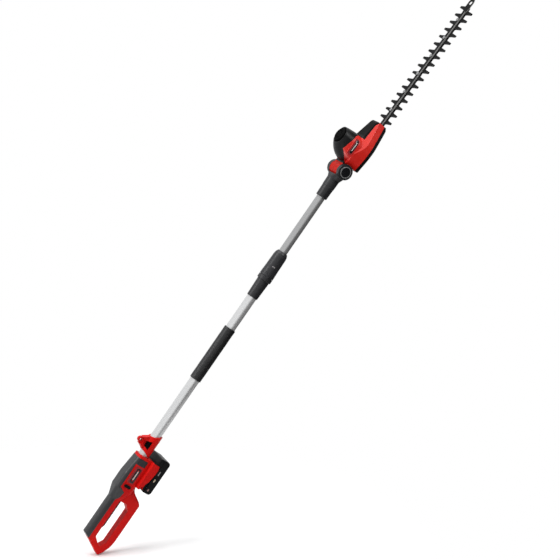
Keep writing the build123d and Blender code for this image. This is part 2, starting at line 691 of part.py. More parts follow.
with BuildPart() as motor_rotor:
    bar_x([(0, MOTOR_Z)], 1.6, -56, 12)
    with BuildSketch(Plane.YZ.offset(-48)) as armature:
        with Locations((0, MOTOR_Z)):
            Circle(14)
            with PolarLocations(14, 5):
                Rectangle(4, 3, mode=Mode.SUBTRACT)
    extrude(armature.sketch, amount=32)
    bar_x([(0, MOTOR_Z)], 5, -14, -9)
save(motor_rotor, "motor_rotor", HEAD_PLACE)


def gear_face(plane, centre_z, teeth, start):
    """A spur gear outline with plain tapered teeth and running backlash."""
    pitch_r = GEAR_MODULE * teeth / 2
    root_r = pitch_r - 1.15 * GEAR_MODULE
    height = 1.9 * GEAR_MODULE
    tooth = [(-0.3, -0.62), (-0.3, 0.62), (height, 0.26), (height, -0.26)]
    with BuildSketch(plane) as outline:
        with Locations((0, centre_z)):
            Circle(root_r)
            with PolarLocations(root_r, teeth, start_angle=start):
                Polygon(*tooth, align=None)
    return outline.sketch


with BuildPart() as pinion:
    extrude(gear_face(Plane.YZ.offset(4.6), MOTOR_Z, PINION_TEETH, 90), amount=6)
    bar_x([(0, MOTOR_Z)], 1.6, 0, 20, Mode.SUBTRACT)
save(pinion, "pinion", HEAD_PLACE)

with BuildPart() as crank_gear:
    extrude(gear_face(Plane.YZ.offset(5), GEAR_Z, GEAR_TEETH, -90 + 180 / GEAR_TEETH), amount=5)
    bar_x([(0, GEAR_Z)], AXLE_R + RUN_GAP, 0, 20, Mode.SUBTRACT)
save(crank_gear, "crank_gear", HEAD_PLACE)

with BuildPart() as crank_cam:
    bar_x([(0, GEAR_Z)], 7, 10, UPPER_BLADE_X)
    bar_x([(0, GEAR_Z + CAM_THROW)], CAM_R, UPPER_BLADE_X, UPPER_BLADE_X + BLADE_THICK)
    bar_x([(0, GEAR_Z - CAM_THROW)], CAM_R, UPPER_BLADE_X + BLADE_THICK, LOWER_BLADE_X + BLADE_THICK)
    bar_x([(0, GEAR_Z)], AXLE_R + RUN_GAP, 0, 40, Mode.SUBTRACT)
save(crank_cam, "crank_cam", HEAD_PLACE)

with BuildPart() as gear_axle:
    bar_x([(0, GEAR_Z)], AXLE_R, -4, 26.5)
    bar_x([(0, GEAR_Z)], 4.6, 26.5, 28)
save(gear_axle, "gear_axle", HEAD_PLACE)

# ---- cutting bar ----
BOLT_PLACES = [(0, FIRST_BOLT - BOLT_PITCH * step) for step in range(BOLT_COUNT)]
GUIDE_BOLT_PLACE = (0, 150)
BOLT_R = 3.0
YOKE_HALF = (14.6, CAM_R + 2 * CAM_THROW + 0.5)


def blade(x_low):
    """One toothed blade with its driving yoke at the rear."""
    with BuildPart() as cutter:
        with BuildSketch(Plane.YZ.offset(x_low)) as outline:
            with BuildLine():
                Polyline(
                    (-18.5, GEAR_Z - 25), (18.5, GEAR_Z - 25), (18.5, GEAR_Z + 23), (BLADE_HALF, 138),
                    (BLADE_HALF, BLADE_END - 4), (BLADE_HALF - 4, BLADE_END), (4 - BLADE_HALF, BLADE_END),
                    (-BLADE_HALF, BLADE_END - 4), (-BLADE_HALF, 138), (-18.5, GEAR_Z + 23), close=True,
                )
            make_face()
            for step in range(TOOTH_COUNT):
                for side, first in ((1, FIRST_FAR_TOOTH), (-1, FIRST_NEAR_TOOTH)):
                    z = first - TOOTH_PITCH * step
                    Polygon(
                        (side * 9, z - 7.6), (side * 15, z - 5.6), (side * TOOTH_REACH, z - 2.9),
                        (side * TOOTH_REACH, z + 2.9), (side * 15, z + 5.6), (side * 9, z + 7.6), align=None,
                    )
            with Locations((0, GEAR_Z)):
                Rectangle(2 * YOKE_HALF[0], 2 * YOKE_HALF[1], mode=Mode.SUBTRACT)
            with Locations(*BOLT_PLACES, GUIDE_BOLT_PLACE):
                SlotOverall(2 * (BOLT_R + CAM_THROW + 0.2), 2 * (BOLT_R + RUN_GAP), rotation=90,
                            mode=Mode.SUBTRACT)
        extrude(outline.sketch, amount=BLADE_THICK)
    return cutter


save(blade(UPPER_BLADE_X), "upper_blade", HEAD_PLACE)
save(blade(LOWER_BLADE_X), "lower_blade", HEAD_PLACE)

SPINE_HALF = 6.0
LOOP_HALF_WIDTH = 12.0
SPINE_TOP = UPPER_BLADE_X - 0.04
with BuildPart() as support_bar:
    block((SPINE_X, SPINE_TOP), (-SPINE_HALF, SPINE_HALF), (128, 556))
    chamfer(support_bar.edges().filter_by(Axis.Z).group_by(Axis.X)[0], 1)
    with BuildSketch(Plane.YZ.offset(SPINE_TOP - 2)) as tip:
        with BuildLine():
            Polyline(
                (SPINE_HALF, 550), (LOOP_HALF_WIDTH, 566), (LOOP_HALF_WIDTH, 590), (7, 600),
                (-7, 600), (-LOOP_HALF_WIDTH, 590), (-LOOP_HALF_WIDTH, 566), (-SPINE_HALF, 550), close=True,
            )
        make_face()
        with Locations((0, LOOP_HOLE_Z)):
            Circle(LOOP_HOLE_R, mode=Mode.SUBTRACT)
    extrude(tip.sketch, amount=2)
    bar_x([*BOLT_PLACES, GUIDE_BOLT_PLACE], BOLT_R, 0, 60, Mode.SUBTRACT)
save(support_bar, "support_bar", HEAD_PLACE)

with BuildPart() as blade_bolts:
    bar_x(BOLT_PLACES, 4.8, SPINE_X - 2.4, SPINE_X)
    bar_x(BOLT_PLACES, BOLT_R, SPINE_X, 28.6)
save(blade_bolts, "blade_bolts", HEAD_PLACE)

NUT_LOW = LOWER_BLADE_X + BLADE_THICK + 0.04
with BuildPart() as blade_nuts:
    with BuildSketch(Plane.YZ.offset(NUT_LOW)) as nuts:
        with Locations(*BOLT_PLACES):
            RegularPolygon(5.4, 6)
            Circle(BOLT_R, mode=Mode.SUBTRACT)
    extrude(nuts.sketch, amount=2.8)
save(blade_nuts, "blade_nuts", HEAD_PLACE)

with BuildPart() as blade_guide_plate:
    block((NUT_LOW, 27.6), (-11, 11), (131, 158))
    bar_x([GUIDE_BOLT_PLACE], BOLT_R, 0, 60, Mode.SUBTRACT)
save(blade_guide_plate, "blade_guide_plate", HEAD_PLACE)

with BuildPart() as guide_bolt:
    bar_x([GUIDE_BOLT_PLACE], 4.8, SPINE_X - 2.4, SPINE_X)
    bar_x([GUIDE_BOLT_PLACE], BOLT_R, SPINE_X, 27.6)
    bar_x([GUIDE_BOLT_PLACE], 4.8, 27.6, 29.6)
save(guide_bolt, "guide_bolt", HEAD_PLACE)
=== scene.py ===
import json
import math

import bmesh
import bpy
from mathutils import Matrix, Vector, noise
from mathutils.bvhtree import BVHTree


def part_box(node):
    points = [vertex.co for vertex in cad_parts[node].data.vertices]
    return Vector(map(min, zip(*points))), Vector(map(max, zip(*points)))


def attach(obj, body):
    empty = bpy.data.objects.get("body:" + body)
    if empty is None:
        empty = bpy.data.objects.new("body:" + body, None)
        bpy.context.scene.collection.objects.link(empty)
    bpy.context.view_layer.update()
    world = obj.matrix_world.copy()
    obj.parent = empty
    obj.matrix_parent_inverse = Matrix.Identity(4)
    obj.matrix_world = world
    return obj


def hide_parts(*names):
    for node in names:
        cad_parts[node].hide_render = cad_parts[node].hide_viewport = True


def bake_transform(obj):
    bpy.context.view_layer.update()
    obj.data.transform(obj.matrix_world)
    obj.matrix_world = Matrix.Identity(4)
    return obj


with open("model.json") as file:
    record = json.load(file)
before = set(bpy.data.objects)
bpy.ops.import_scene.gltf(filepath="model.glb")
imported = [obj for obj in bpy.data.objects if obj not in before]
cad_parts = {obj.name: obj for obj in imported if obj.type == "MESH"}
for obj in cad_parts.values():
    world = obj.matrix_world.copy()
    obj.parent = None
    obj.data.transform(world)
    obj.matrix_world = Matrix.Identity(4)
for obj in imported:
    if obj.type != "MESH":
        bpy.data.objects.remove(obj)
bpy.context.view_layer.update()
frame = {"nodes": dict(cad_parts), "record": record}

MM = 0.001

# The tool's axes: +Z along the pole, +X battery side, -Y the side that the camera sees.
AXIS_X, AXIS_Y, AXIS_Z = Vector((1, 0, 0)), Vector((0, 1, 0)), Vector((0, 0, 1))

# The head leans from the pole at rest, so it has axes of its own, which start at its hinge.
HINGE = Vector((0, 0, 1.223))
HEAD_LEAN = math.radians(2.06)
HEAD_X = Vector((math.cos(HEAD_LEAN), 0, -math.sin(HEAD_LEAN)))
HEAD_Z = Vector((math.sin(HEAD_LEAN), 0, math.cos(HEAD_LEAN)))

# The view: the camera turns around the pole and rolls about its own line of sight.
VIEW_TURN = math.radians(30.0)
VIEW_ROLL = math.radians(34.64)
TO_CAMERA = Vector((-math.sin(VIEW_TURN), -math.cos(VIEW_TURN), 0))
SIDE = Vector((math.cos(VIEW_TURN), -math.sin(VIEW_TURN), 0))
IMAGE_UP = AXIS_Z * math.cos(VIEW_ROLL) - SIDE * math.sin(VIEW_ROLL)
IMAGE_RIGHT = SIDE * math.cos(VIEW_ROLL) + AXIS_Z * math.sin(VIEW_ROLL)


# ------------------------------------------------------------------ materials
# sockets of Blender's Mix node that carry colours
MIX_COLOUR_A, MIX_COLOUR_B, MIX_COLOUR_OUT = 6, 7, 2


def links(tree, *pairs):
    """Connects pairs of an output and an input."""
    for a, b in pairs:
        tree.links.new(a, b)


class Mat:
    """A small wrapper that keeps each material's node graph readable."""

    def __init__(self, name):
        self.mat = bpy.data.materials.new(name)
        self.mat.use_nodes = True
        self.tree = self.mat.node_tree
        self.bsdf = self.tree.nodes["Principled BSDF"]
        coord = self.tree.nodes.new("ShaderNodeTexCoord")
        self.place = coord.outputs["Object"]

    def node(self, kind, **inputs):
        """A node with input values; an underscore in a name stands for a space."""
        made = self.tree.nodes.new(kind)
        for key, value in inputs.items():
            made.inputs[key.replace("_", " ")].default_value = value
        return made

    def noise(self, scale, detail=2.0, rough=0.5, stretch=None):
        """A cloudy pattern in object space; stretch scales its axes."""
        made = self.node("ShaderNodeTexNoise", Scale=scale, Detail=detail, Roughness=rough)
        source = self.place
        if stretch:
            mapping = self.node("ShaderNodeMapping")
            mapping.inputs["Scale"].default_value = stretch
            links(self.tree, (source, mapping.inputs["Vector"]))
            source = mapping.outputs["Vector"]
        links(self.tree, (source, made.inputs["Vector"]))
        return made.outputs["Fac"]

    def cells(self, scale):
        """A pattern of rounded cells: the distance to the nearest cell's middle."""
        made = self.node("ShaderNodeTexVoronoi", Scale=scale)
        links(self.tree, (self.place, made.inputs["Vector"]))
        return made.outputs["Distance"]

    def spread(self, fac, low, high, new_low, new_high):
        """Maps the range low to high onto new_low to new_high, and holds it there."""
        made = self.node("ShaderNodeMapRange")
        for key, value in zip(("From Min", "From Max", "To Min", "To Max"), (low, high, new_low, new_high)):
            made.inputs[key].default_value = value
        links(self.tree, (fac, made.inputs["Value"]))
        return made.outputs["Result"]

    def mix(self, fac, a, b):
        """Blends two colours, each a tuple or a socket."""
        made = self.tree.nodes.new("ShaderNodeMix")
        made.data_type = "RGBA"
        for key, value in ((MIX_COLOUR_A, a), (MIX_COLOUR_B, b)):
            if isinstance(value, tuple):
                made.inputs[key].default_value = (*value, 1.0)
            else:
                links(self.tree, (value, made.inputs[key]))
        links(self.tree, (fac, made.inputs[0]))
        return made.outputs[MIX_COLOUR_OUT]

    def colour(self, source):
        """Base colour from a tuple or a socket."""
        if isinstance(source, tuple):
            self.bsdf.inputs["Base Color"].default_value = (*source, 1.0)
        else:
            links(self.tree, (source, self.bsdf.inputs["Base Color"]))

    def set(self, **values):
        """Other inputs of the surface, each a value or a socket."""
        for key, value in values.items():
            socket = self.bsdf.inputs[key.replace("_", " ")]
            if hasattr(value, "is_output"):
                links(self.tree, (value, socket))
            else:
                socket.default_value = value

    def bumps(self, *layers, edge=0.0):
        """Stacks (height, depth in metres) layers; an edge radius rounds hard edges in shading."""
        normal = None
        if edge > 0:
            bevel = self.node("ShaderNodeBevel", Radius=edge)
            bevel.samples = 4
            normal = bevel.outputs["Normal"]
        for height, depth in layers:
            bump = self.node("ShaderNodeBump", Distance=depth, Strength=1.0)
            links(self.tree, (height, bump.inputs["Height"]))
            if normal is not None:
                links(self.tree, (normal, bump.inputs["Normal"]))
            normal = bump.outputs["Normal"]
        if normal is not None:
            links(self.tree, (normal, self.bsdf.inputs["Normal"]))

    def part_of(self, vector, axis, absolute=False):
        """One component of a vector socket, signed or as its size."""
        split = self.tree.nodes.new("ShaderNodeSeparateXYZ")
        links(self.tree, (vector, split.inputs[0]))
        if not absolute:
            return split.outputs[axis]
        size = self.tree.nodes.new("ShaderNodeMath")
        size.operation = "ABSOLUTE"
        links(self.tree, (split.outputs[axis], size.inputs[0]))
        return size.outputs[0]

    def facing(self, axis, low, high):
        """How far the surface faces along an object axis, either way."""
        coord = self.tree.nodes.new("ShaderNodeTexCoord")
        return self.spread(self.part_of(coord.outputs["Normal"], axis, True), low, high, 0.0, 1.0)


# the parting line of the moulds, as distances from the middle plane, and its depth
SEAM_CORE = 0.12 * MM
SEAM_EDGE = 0.30 * MM
SEAM_DEPTH = 0.30 * MM
SEAM_SHADE = 0.35
# height over which one shine turns into another and the painted shade below a height fades out
SHINE_AND_SHADE_CHANGE = 12 * MM


def moulded_plastic(name, colour, lighter, rough=0.36, grain=0.04 * MM, shine=0.3, seam=False, below=None):
    """Injection-moulded plastic: fine spark-eroded grain, slow tone drift and faint handling marks.

    A seam is the parting line of the mould at the middle plane. Below a height the shine may differ and the
    colour may
    be darkened as painted shade: below is (height in metres, shine, shade), where shade 1 keeps the colour
    and 0 makes it black."""
    m = Mat(name)
    drift = m.spread(m.noise(9.0, 3.0), 0.35, 0.65, 0.0, 1.0)
    tone = m.mix(drift, colour, lighter)
    layers = [(m.noise(1500.0, 2.0), grain), (m.noise(30.0, 2.0), 0.08 * MM)]
    if seam:
        line = m.spread(m.part_of(m.place, "Y", absolute=True), SEAM_CORE, SEAM_EDGE, 1.0, 0.0)
        tone = m.mix(line, tone, tuple(value * SEAM_SHADE for value in colour))
        layers.append((m.spread(line, 0.0, 1.0, 1.0, 0.0), SEAM_DEPTH))
    marks = m.spread(m.noise(70.0, 4.0, 0.6), 0.4, 0.75, rough - 0.05, rough + 0.12)
    m.set(Roughness=marks, Specular_IOR_Level=shine)
    if below:
        level, low_shine, shade = below
        height = m.part_of(m.place, "Z")
        top = level + SHINE_AND_SHADE_CHANGE
        m.set(Specular_IOR_Level=m.spread(height, level, top, low_shine, shine))
        # painted shade: below the height the colour is darkened towards black
        tone = m.mix(m.spread(height, level, top, 1.0 - shade, 0.0), tone, (0.0, 0.0, 0.0))
    m.colour(tone)
    m.bumps(*layers, edge=0.7 * MM)
    return m.mat


def soft_touch(name, colour, lighter):
    """Overmoulded soft elastomer: dull, finely pebbled."""
    m = Mat(name)
    drift = m.spread(m.noise(14.0, 4.0), 0.35, 0.65, 0.0, 1.0)
    m.colour(m.mix(drift, colour, lighter))
    m.set(Roughness=m.spread(m.noise(90.0, 3.0), 0.3, 0.7, 0.30, 0.40), Specular_IOR_Level=0.44,
          Sheen_Weight=0.03, Sheen_Roughness=0.4)
    m.bumps((m.cells(900.0), 0.12 * MM), (m.noise(2500.0), 0.03 * MM), edge=0.9 * MM)
    return m.mat


def foam(name):
    """Closed-cell foam: dull, with open pores in its cut skin, darker inside as painted shade."""
    m = Mat(name)
    pores = m.cells(620.0)
    # painted shade: the colour darkens towards the middle of each pore
    m.colour(m.mix(m.spread(pores, 0.1, 0.6, 0.0, 1.0), (0.001, 0.001, 0.0012), (0.005, 0.005, 0.0055)))
    m.set(Roughness=0.42, Specular_IOR_Level=0.34)
    m.bumps((pores, 0.3 * MM), (m.noise(240.0, 4.0), 0.2 * MM))
    return m.mat


def drawn_aluminium(name, colour, lighter, metallic):
    """Anodised drawn tube: long fine die lines and a satin film."""
    m = Mat(name)
    lines = m.noise(900.0, 3.0, 0.6, (1.0, 1.0, 0.006))
    m.colour(m.mix(m.spread(m.noise(6.0, 2.0), 0.3, 0.7, 0.0, 1.0), colour, lighter))
    m.set(Metallic=metallic, Roughness=m.spread(lines, 0.3, 0.7, 0.28, 0.38), Specular_IOR_Level=0.25)
    m.bumps((lines, 0.007 * MM))
    return m.mat


def coated_blade(name, light_sides=False):
    """Black oxide steel, rubbed through to the steel in small speckles; a bar may have its faces that look
    along Y in a streaked light grey.
    """
    m = Mat(name)
    speckle = m.spread(m.noise(260.0, 6.0, 0.7), 0.50, 0.72, 0.0, 0.5)
    tone = m.mix(speckle, (0.001, 0.001, 0.001), (0.008, 0.008, 0.007))
    if light_sides:
        # the faces that look along Y take a streaked light grey
        side_streaks = m.spread(m.noise(300.0, 4.0, 0.6, (1.0, 1.0, 0.1)), 0.3, 0.7, 0.0, 1.0)
        side_grey = m.mix(side_streaks, (0.16, 0.16, 0.155), (0.26, 0.255, 0.25))
        tone = m.mix(m.facing("Y", 0.55, 0.8), tone, side_grey)
    m.colour(tone)
    m.set(Roughness=m.spread(m.noise(120.0, 4.0), 0.3, 0.7, 0.42, 0.58), Specular_IOR_Level=0.07)
    m.bumps((m.noise(800.0, 3.0), 0.03 * MM), edge=0.4 * MM)
    return m.mat


def bright_steel(name, colour=(0.56, 0.56, 0.57), rough=0.28):
    """Plated or ground steel with fine lines and duller patches."""
    m = Mat(name)
    lines = m.noise(1400.0, 4.0, 0.6, (1.0, 0.05, 1.0))
    patches = m.spread(m.noise(200.0, 5.0), 0.4, 0.7, 0.0, 1.0)
    m.colour(m.mix(patches, colour, tuple(value * 0.6 for value in colour)))
    m.set(Metallic=1.0, Roughness=m.spread(lines, 0.3, 0.7, rough - 0.06, rough + 0.14))
    m.bumps((lines, 0.01 * MM), edge=0.3 * MM)
    return m.mat


# name, colour, lighter tone and roughness or, for the tubes, metallic share
RED = moulded_plastic("moulded red", (0.490, 0.004, 0.004), (0.560, 0.007, 0.005), 0.42,
                      shine=0.08, seam=True)
# below 1.248 m, on the head's hinge barrel, this red is darkened as painted shade
RED_BRIGHT = moulded_plastic("polished red", (0.500, 0.008, 0.005), (0.570, 0.016, 0.008), 0.38,
                             shine=0.46, seam=True, below=(1.248, 0.05, 0.68))
MAROON = moulded_plastic("fine grained maroon", (0.230, 0.008, 0.012), (0.270, 0.011, 0.015), 0.5,
                         grain=0.08 * MM)
BLACK = moulded_plastic("moulded black", (0.011, 0.011, 0.012), (0.020, 0.020, 0.022), 0.42, shine=0.24)
BLACK_DEEP = moulded_plastic("deep black", (0.003, 0.003, 0.003), (0.007, 0.007, 0.0075), 0.40, shine=0.07)
BLACK_COVER = moulded_plastic("cover black", (0.002, 0.002, 0.002), (0.005, 0.005, 0.0055), 0.40,
                              shine=0.03, below=(1.325, 0.16, 1.0))
# nearly pure black: on the motor cap it is painted shade for the dark vent openings; the strap liner takes
# the same black
BLACK_AND_VENT_SHADE = moulded_plastic("black and painted vent shade", (0.001, 0.001, 0.001), (0.002, 0.002, 0.002), 0.5, shine=0.02)
BLACK_GLOSS = moulded_plastic("polished black", (0.004, 0.004, 0.005), (0.009, 0.009, 0.010), 0.22,
                              grain=0.01 * MM, shine=0.4)
# the ring's light grey on the black tilt button is a painted highlight
SATIN_RING_HIGHLIGHT = moulded_plastic("satin ring painted highlight", (0.11, 0.11, 0.11), (0.15, 0.15, 0.15), 0.45, shine=0.4)
WHITE = moulded_plastic("natural nylon", (0.62, 0.61, 0.57), (0.70, 0.69, 0.66), 0.45)
PALE = moulded_plastic("pale print", (0.50, 0.48, 0.43), (0.60, 0.58, 0.54), 0.40)
CREAM = moulded_plastic("cream print", (0.40, 0.32, 0.22), (0.48, 0.40, 0.28), 0.40)
ROSE = moulded_plastic("rose print", (0.30, 0.16, 0.15), (0.36, 0.20, 0.18), 0.40)
GREY = moulded_plastic("grey print", (0.16, 0.15, 0.15), (0.21, 0.20, 0.20), 0.40)
CELL = moulded_plastic("cell wrap", (0.05, 0.16, 0.40), (0.06, 0.20, 0.46), 0.30)
BOARD = moulded_plastic("coated board", (0.01, 0.11, 0.04), (0.02, 0.15, 0.05), 0.35)
CABLE = moulded_plastic("cable sheath", (0.010, 0.010, 0.010), (0.018, 0.018, 0.018), 0.5)
SOFT = soft_touch("soft grip", (0.007, 0.007, 0.0085), (0.013, 0.013, 0.015))
FOAM = foam("closed cell foam")
ALLOY = drawn_aluminium("drawn aluminium", (0.64, 0.64, 0.64), (0.70, 0.70, 0.70), 0.72)
ALLOY_DARK = drawn_aluminium("drawn aluminium upper", (0.38, 0.38, 0.38), (0.42, 0.42, 0.42), 0.75)
BLADE = coated_blade("coated blade")
BLADE_BAR = coated_blade("coated bar", light_sides=True)
STEEL = bright_steel("zinc plated steel")
GROUND = bright_steel("ground blade edge", (0.018, 0.018, 0.019), 0.40)
BOLT_STEEL = bright_steel("bolt steel", (0.30, 0.30, 0.30), 0.40)
DARK_STEEL = bright_steel("dark steel", (0.12, 0.12, 0.125), 0.35)

SLOT_LOOKS = {
    "red_plastic": RED, "black_plastic": BLACK, "white_plastic": WHITE, "soft_grip": SOFT, "foam": FOAM,
    "cable_rubber": CABLE, "aluminium": ALLOY, "blade_steel": BLADE, "bright_steel": STEEL,
    "cell_wrap": CELL, "board_green": BOARD,
}
# nodes whose finish differs from their slot's
NODE_LOOKS = {
    "upper_tube": ALLOY_DARK, "head_shell_left": RED_BRIGHT, "head_shell_right": RED_BRIGHT,
    "bottom_cover": BLACK_DEEP, "battery_cover": BLACK_DEEP, "battery_base": BLACK_DEEP,
    "lock_off_button": BLACK_DEEP, "motor_cover": BLACK_COVER, "motor_cap": BLACK_AND_VENT_SHADE,
    "strap_liner": BLACK_AND_VENT_SHADE, "tilt_button": BLACK_GLOSS,
    "support_bar": BLADE_BAR, "blade_bolts": BOLT_STEEL, "blade_nuts": DARK_STEEL,
}


def dress_frame():
    """Gives every CAD node its material."""
    slot_of = {row["node"]: row["material_slot"] for row in frame["record"]["subparts"]}
    for name, obj in frame["nodes"].items():
        look = NODE_LOOKS.get(name, SLOT_LOOKS[slot_of[name]])
        obj.data.materials.clear()
        obj.data.materials.append(look)


dress_frame()


# ------------------------------------------------------------------ mesh helpers
def piece_from(bm, name, body, slot, *looks, sharp=35.0):
    """Turns a finished bmesh into a named piece that rides on a body."""
    bmesh.ops.recalc_face_normals(bm, faces=bm.faces)
    mesh = bpy.data.meshes.new(name)
    bm.to_mesh(mesh)
    bm.free()
    for look in looks:
        mesh.materials.append(look)
    mesh.shade_smooth()
    mesh.set_sharp_from_angle(angle=math.radians(sharp))
    obj = bpy.data.objects.new(name, mesh)
    bpy.context.scene.collection.objects.link(obj)
    if body:
        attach(obj, body)
    return obj


def ring(bm, points):
    """Vertices at the given points."""
    return [bm.verts.new(point) for point in points]


def bridge(bm, low, high, look=0):
    """Quads between two closed rings of the same length."""
    for i in range(len(low)):
        j = (i + 1) % len(low)
        face = bm.faces.new((low[i], low[j], high[j], high[i]))
        face.material_index = look


def fill(bm, verts, look=0):
    """Triangles across a closed ring."""
    edges = [bm.edges.get((verts[i], verts[(i + 1) % len(verts)])) for i in range(len(verts))]
    for item in bmesh.ops.triangle_fill(bm, edges=edges, use_beauty=True)["geom"]:
        if isinstance(item, bmesh.types.BMFace):
            item.material_index = look


def surface_of(*nodes):
    """A tree for casting rays onto CAD nodes, so that details lie on the real surface."""
    bm = bmesh.new()
    for node in nodes:
        bm.from_mesh(frame["nodes"][node].data)
    tree = BVHTree.FromBMesh(bm)
    bm.free()
    return tree


def rounded_outline(width, height, corner, turn_steps=6, side_steps=10):
    """A corner-rounded rectangle with the same number of points at any size."""
    corner = max(min(corner, width / 2 - 1e-5, height / 2 - 1e-5), 1e-5)
    centres = [(su * (width / 2 - corner), sv * (height / 2 - corner))
               for su, sv in ((1, 1), (-1, 1), (-1, -1), (1, -1))]
    points = []
    for k, (u, v) in enumerate(centres):
        arc = [math.pi / 2 * (k + i / turn_steps) for i in range(turn_steps + 1)]
        points += [(u + corner * math.cos(a), v + corner * math.sin(a)) for a in arc]
        next_u, next_v = centres[(k + 1) % 4]
        start = points[-1]
        end = (next_u + corner * math.cos(arc[-1]), next_v + corner * math.sin(arc[-1]))
        for i in range(1, side_steps):
            share = i / side_steps
            points.append((start[0] + (end[0] - start[0]) * share, start[1] + (end[1] - start[1]) * share))
    return points


# how far a pad's back lies inside the surface that carries it
PAD_ROOT = 0.7
# the flat of a pad is cut into rings of this width, so that it follows a curved surface
PAD_RING = 2.0
PAD_CORE = 3.2


def pad(name, tree, centre, across, along, size, corner, profile, body, slot, *looks):
    """A moulded pad laid on a surface; the profile lists (inset, height) steps, in millimetres.

    centre is a point outside the surface, and rays go from its plane in the direction of along x across.
    A second look covers the flat inside the profile's last step."""
    inward = along.cross(across).normalized()
    bm = bmesh.new()
    width, height = size
    steps = list(profile)
    inset, lift = steps[-1]
    while min(width, height) / 2 - inset > PAD_CORE:
        inset += PAD_RING
        steps.append((inset, lift))
    rings = []
    for inset, lift in steps:
        points = []
        for u, v in rounded_outline(width - 2 * inset, height - 2 * inset, corner - inset):
            start = centre + (across * u + along * v) * MM
            hit = tree.ray_cast(start, inward)[0]
            if hit is None:
                raise ValueError(f"pad {name} leaves its surface at {u:.1f}, {v:.1f}")
            points.append(hit - inward * lift * MM)
        rings.append(ring(bm, points))
    flat_look = len(looks) - 1
    flat_from = len(profile) - 2
    for k in range(len(rings) - 1):
        bridge(bm, rings[k], rings[k + 1], flat_look if k >= flat_from else 0)
    fill(bm, rings[-1], flat_look)
    base = ring(bm, [vert.co + inward * PAD_ROOT * MM for vert in rings[0]])
    bridge(bm, rings[0], base)
    fill(bm, base)
    return piece_from(bm, name, body, slot, *looks, sharp=50.0)


def turned(bm, origin, axis, profile, segments=72, ripple=None):
    """Closed turned shape from a closed (radius, height) profile; ripple(angle, k) adds to a radius."""
    side = axis.orthogonal().normalized()
    front = axis.cross(side)
    rings = []
    for k, (radius, height) in enumerate(profile):
        points = []
        for i in range(segments):
            angle = 2 * math.pi * i / segments
            grown = radius + (ripple(angle, k) if ripple else 0.0)
            spoke = side * math.cos(angle) + front * math.sin(angle)
            points.append(origin + spoke * grown * MM + axis * height * MM)
        rings.append(ring(bm, points))
    for k in range(len(rings)):
        bridge(bm, rings[k], rings[(k + 1) % len(rings)])


def islands(node):
    """Boxes (low, high) of the separate solids in one CAD node."""
    bm = bmesh.new()
    bm.from_mesh(frame["nodes"][node].data)
    bmesh.ops.remove_doubles(bm, verts=bm.verts, dist=1e-6)
    waiting = set(bm.verts)
    boxes = []
    while waiting:
        stack = [waiting.pop()]
        found = []
        while stack:
            vert = stack.pop()
            found.append(vert.co.copy())
            for edge in vert.link_edges:
                other = edge.other_vert(vert)
                if other in waiting:
                    waiting.remove(other)
                    stack.append(other)
        boxes.append((Vector([min(p[i] for p in found) for i in range(3)]),
                      Vector([max(p[i] for p in found) for i in range(3)])))
    bm.free()
    return sorted(boxes, key=lambda box: tuple(round(value, 4) for value in box[0]))


# ------------------------------------------------------------------ soft parts
# millimetres, apart from the scale of the pebbles
SKIN_VOXEL = 1.0
SKIN_PROUD = 0.45
PEBBLE_HEIGHT = 0.07
PEBBLE_SCALE = 420.0


def soft_grip_piece():
    """The overmoulded grip: rounded edges, standing slightly proud, finely pebbled."""
    source = frame["nodes"]["soft_grip_cover"]
    work = bpy.data.objects.new("soft work", source.data.copy())
    bpy.context.scene.collection.objects.link(work)
    work.modifiers.new("join", "WELD").merge_threshold = 1e-5
    remesh = work.modifiers.new("skin", "REMESH")
    remesh.mode = "VOXEL"
    remesh.voxel_size = SKIN_VOXEL * MM
    smooth = work.modifiers.new("soften", "SMOOTH")
    smooth.factor = 0.5
    smooth.iterations = 5
    graph = bpy.context.evaluated_depsgraph_get()
    mesh = bpy.data.meshes.new_from_object(work.evaluated_get(graph))
    bpy.data.objects.remove(work)
    bm = bmesh.new()
    bm.from_mesh(mesh)
    bpy.data.meshes.remove(mesh)
    bm.normal_update()
    moves = []
    for vert in bm.verts:
        pebble = noise.noise(vert.co * PEBBLE_SCALE) * PEBBLE_HEIGHT
        moves.append(vert.normal * (SKIN_PROUD + pebble) * MM)
    for vert, move in zip(bm.verts, moves):
        vert.co += move
    obj = piece_from(bm, "soft_grip_skin", "handle", "soft_grip", SOFT, sharp=60.0)
    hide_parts("soft_grip_cover")


# millimetres: the bore over the lower tube, and the radius of the rolled ends
FOAM_BORE = 14.05
FOAM_ROLL = 1.2
FOAM_RINGS = 170


def foam_grip_piece():
    """The foam sleeve: rolled ends, faint waviness and coarse skin."""
    low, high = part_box("foam_grip")
    radius = (high.x - low.x) / 2 / MM
    length = (high.z - low.z) / MM
    roll_angles = (0.4, 0.8, 1.2)
    roll = [(radius - FOAM_ROLL + FOAM_ROLL * math.sin(a), FOAM_ROLL - FOAM_ROLL * math.cos(a))
            for a in roll_angles]
    first_end = [(FOAM_BORE, 0.6), (FOAM_BORE + 0.5, 0.1), (FOAM_BORE + FOAM_ROLL, 0.0)] + roll
    margin = FOAM_ROLL + 0.2
    middle = [(radius, margin + (length - 2 * margin) * i / FOAM_RINGS) for i in range(FOAM_RINGS + 1)]
    last_end = [(r, length - height) for r, height in reversed(first_end)]
    outline = first_end + middle + last_end

    def skin(angle, k):
        r, height = outline[k]
        if r <= FOAM_BORE + 0.6:
            return 0.0
        place = Vector((math.cos(angle) * r, math.sin(angle) * r, height))
        waves = noise.noise(place * 0.05) * 0.30 - 0.15
        grain = noise.noise(place * 0.45) * 0.12
        return waves + grain

    bm = bmesh.new()
    turned(bm, Vector((0, 0, low.z)), AXIS_Z, outline, 110, skin)
    obj = piece_from(bm, "foam_sleeve", "handle", "foam", FOAM, sharp=60.0)
    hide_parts("foam_grip")


LEAD_RADIUS = 1.9 * MM
LEAD_PITCH = 7.5 * MM
# rings in one turn of the lead, and points in one ring
LEAD_STEPS = 20
LEAD_SIDES = 8


